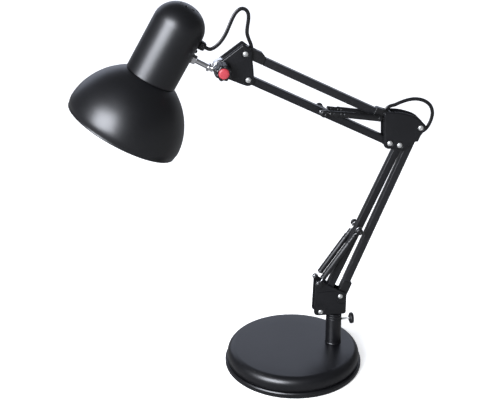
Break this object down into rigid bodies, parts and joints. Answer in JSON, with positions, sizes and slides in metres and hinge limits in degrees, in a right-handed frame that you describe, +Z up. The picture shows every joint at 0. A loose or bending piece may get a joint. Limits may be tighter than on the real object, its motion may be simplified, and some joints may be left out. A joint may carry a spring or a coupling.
{
  "type": "swing arm desk lamp",
  "caption": "Desk lamp with a round weighted base, a clamped post, spring-balanced parallelogram arms, a tilt knob and a bell-shaped shade.",
  "frame": {"origin": "centre of the round base, on its underside", "axes": "+Z up, the arms in the XZ plane with the lamp head towards -X, +Y to the left when looking along +X"},
  "size_m": [0.4673, 0.1925, 0.5157],
  "materials": {
    "black_paint": "satin black powder coat",
    "black_plastic": "moulded, fine matt",
    "lead_sheath": "soft smooth sheath",
    "rubber": "foamed, matt",
    "iron": "as cast",
    "zinc": "bright zinc plate",
    "chrome": "polished",
    "red_cap": "satin, coral red",
    "holder": "smooth, ivory",
    "glass": "frosted"
  },
  "bodies": {
    "base": {"base_pad": "rubber", "base_rim": "black_paint", "base_shell": "black_paint", "base_weight": "iron", "base_bolt": "zinc", "cord_grommet": "black_plastic", "post_tube": "black_paint"},
    "thumb_screw": {"thumb_shank": "zinc", "thumb_head": "black_plastic"},
    "lower_bracket": {"lower_plate_near": "black_paint", "lower_plate_far": "black_paint", "swivel_spigot": "zinc", "axle_lower_front": "zinc", "axle_lower_rear": "zinc", "spring_stud_near": "zinc", "spring_stud_far": "zinc"},
    "lower_rear_rod": {"lower_rear_tube": "black_paint", "rear_fitting_bottom": "black_plastic", "rear_fitting_top": "black_plastic"},
    "lower_front_rod": {"lower_front_tube": "black_paint", "lower_cross_pin": "black_plastic"},
    "elbow": {"elbow_plate_near": "black_paint", "elbow_plate_far": "black_paint", "axle_elbow_front": "zinc", "axle_elbow_rear": "zinc", "axle_elbow_bottom": "zinc", "axle_elbow_top": "zinc", "elbow_lead": "lead_sheath"},
    "lower_springs": {"lower_spring_sleeve_near": "black_plastic", "lower_spring_sleeve_far": "black_plastic", "lower_spring_hook_near": "zinc", "lower_spring_hook_far": "zinc"},
    "lower_spring_cores": {"lower_spring_core_near": "zinc", "lower_spring_core_far": "zinc"},
    "upper_top_rod": {"upper_top_tube": "black_paint", "top_fitting_elbow": "black_plastic", "top_fitting_head": "black_plastic"},
    "upper_bottom_rod": {"upper_bottom_tube": "black_paint", "upper_cross_pin": "black_plastic"},
    "upper_springs": {"upper_spring_sleeve_near": "black_plastic", "upper_spring_sleeve_far": "black_plastic", "upper_spring_hook_near": "zinc", "upper_spring_hook_far": "zinc"},
    "upper_spring_cores": {"upper_spring_core_near": "zinc", "upper_spring_core_far": "zinc"},
    "head_bracket": {"head_plate_near": "black_paint", "head_plate_far": "black_paint", "axle_head_top": "zinc", "axle_head_bottom": "zinc", "clamp_bolt": "zinc", "head_lead": "lead_sheath"},
    "tilt_knob": {"tilt_knob": "black_plastic", "knob_cap": "red_cap"},
    "head_knuckle": {"tilt_eye_stem": "chrome"},
    "head": {"socket_housing": "black_paint", "lamp_shade": "black_paint", "lampholder": "holder", "bulb": "glass", "lead_gland": "black_plastic", "stem_nut": "chrome"}
  },
  "joints": [
    {"name": "base_swivel", "type": "hinge", "parent": "base", "child": "lower_bracket", "pos_m": [0.057, 0, 0.06], "axis": [0, 0, 1], "range_deg": [-170, 170]},
    {"name": "thumb_screw_turn", "type": "hinge", "parent": "base", "child": "thumb_screw", "pos_m": [0.057, 0, 0.0635], "axis": [1, 0, 0], "range_deg": [-180, 180]},
    {"name": "lower_arm_swing", "type": "hinge", "parent": "lower_bracket", "child": "lower_rear_rod", "pos_m": [0.0631, 0, 0.1038], "axis": [0, -1, 0], "range_deg": [-4, 34]},
    {"name": "lower_front_follow", "type": "hinge", "parent": "lower_bracket", "child": "lower_front_rod", "pos_m": [0.0362, 0, 0.0814], "axis": [0, -1, 0], "range_deg": [-4.5, 34.5]},
    {"name": "elbow_level", "type": "hinge", "parent": "lower_rear_rod", "child": "elbow", "pos_m": [0.161, 0, 0.3433], "axis": [0, -1, 0], "range_deg": [-34.5, 4.5], "deforming": ["elbow_lead"]},
    {"name": "lower_spring_swing", "type": "hinge", "parent": "lower_bracket", "child": "lower_springs", "pos_m": [0.032, 0, 0.126], "axis": [0, -1, 0], "range_deg": [-6.35, 50.22], "deforming": ["lower_spring_sleeve_near", "lower_spring_sleeve_far", "lower_spring_hook_near", "lower_spring_hook_far"]},
    {"name": "lower_spring_stretch", "type": "slide", "parent": "lower_springs", "child": "lower_spring_cores", "axis": [0.5604, 0, 0.8282], "range_m": [-0.0091, 0.00151], "deforming": ["lower_spring_core_near", "lower_spring_core_far"]},
    {"name": "upper_arm_swing", "type": "hinge", "parent": "elbow", "child": "upper_top_rod", "pos_m": [0.1175, 0, 0.3574], "axis": [0, -1, 0], "range_deg": [-20, 28]},
    {"name": "upper_bottom_follow", "type": "hinge", "parent": "elbow", "child": "upper_bottom_rod", "pos_m": [0.1208, 0, 0.3243], "axis": [0, -1, 0], "range_deg": [-20.5, 28.5]},
    {"name": "head_level", "type": "hinge", "parent": "upper_top_rod", "child": "head_bracket", "pos_m": [-0.0677, 0, 0.4502], "axis": [0, -1, 0], "range_deg": [-28.5, 20.5]},
    {"name": "upper_spring_swing", "type": "hinge", "parent": "elbow", "child": "upper_springs", "pos_m": [0.1175, 0, 0.3574], "axis": [0, -1, 0], "range_deg": [-21.6, 30.04], "deforming": ["upper_spring_sleeve_near", "upper_spring_sleeve_far", "upper_spring_hook_near", "upper_spring_hook_far"]},
    {"name": "upper_spring_stretch", "type": "slide", "parent": "upper_springs", "child": "upper_spring_cores", "axis": [-0.988, 0, 0.1546], "range_m": [-0.0115, 0.01589], "deforming": ["upper_spring_core_near", "upper_spring_core_far"]},
    {"name": "tilt_knob_turn", "type": "hinge", "parent": "head_bracket", "child": "tilt_knob", "pos_m": [-0.097, 0, 0.4325], "axis": [0, -1, 0], "range_deg": [-180, 180]},
    {"name": "head_tilt", "type": "hinge", "parent": "head_bracket", "child": "head_knuckle", "pos_m": [-0.097, 0, 0.4325], "axis": [0, -1, 0], "range_deg": [-40, 40], "deforming": ["head_lead"]},
    {"name": "head_swivel", "type": "hinge", "parent": "head_knuckle", "child": "head", "pos_m": [-0.16194, 0, 0.4615], "axis": [0.8672, 0, -0.498], "range_deg": [-60, 60]}
  ],
  "couplings": [
    {"joint": "lower_front_follow", "follows": "lower_arm_swing", "ratio": 1},
    {"joint": "elbow_level", "follows": "lower_arm_swing", "ratio": -1},
    {"joint": "lower_spring_swing", "follows": "lower_arm_swing", "ratio": 1.4625},
    {"joint": "lower_spring_stretch", "follows": "lower_arm_swing", "m_per_rad": -0.0145},
    {"joint": "upper_bottom_follow", "follows": "upper_arm_swing", "ratio": 1},
    {"joint": "head_level", "follows": "upper_arm_swing", "ratio": -1},
    {"joint": "upper_spring_swing", "follows": "upper_arm_swing", "ratio": 1.055},
    {"joint": "upper_spring_stretch", "follows": "upper_arm_swing", "m_per_rad": 0.0315}
  ]
}
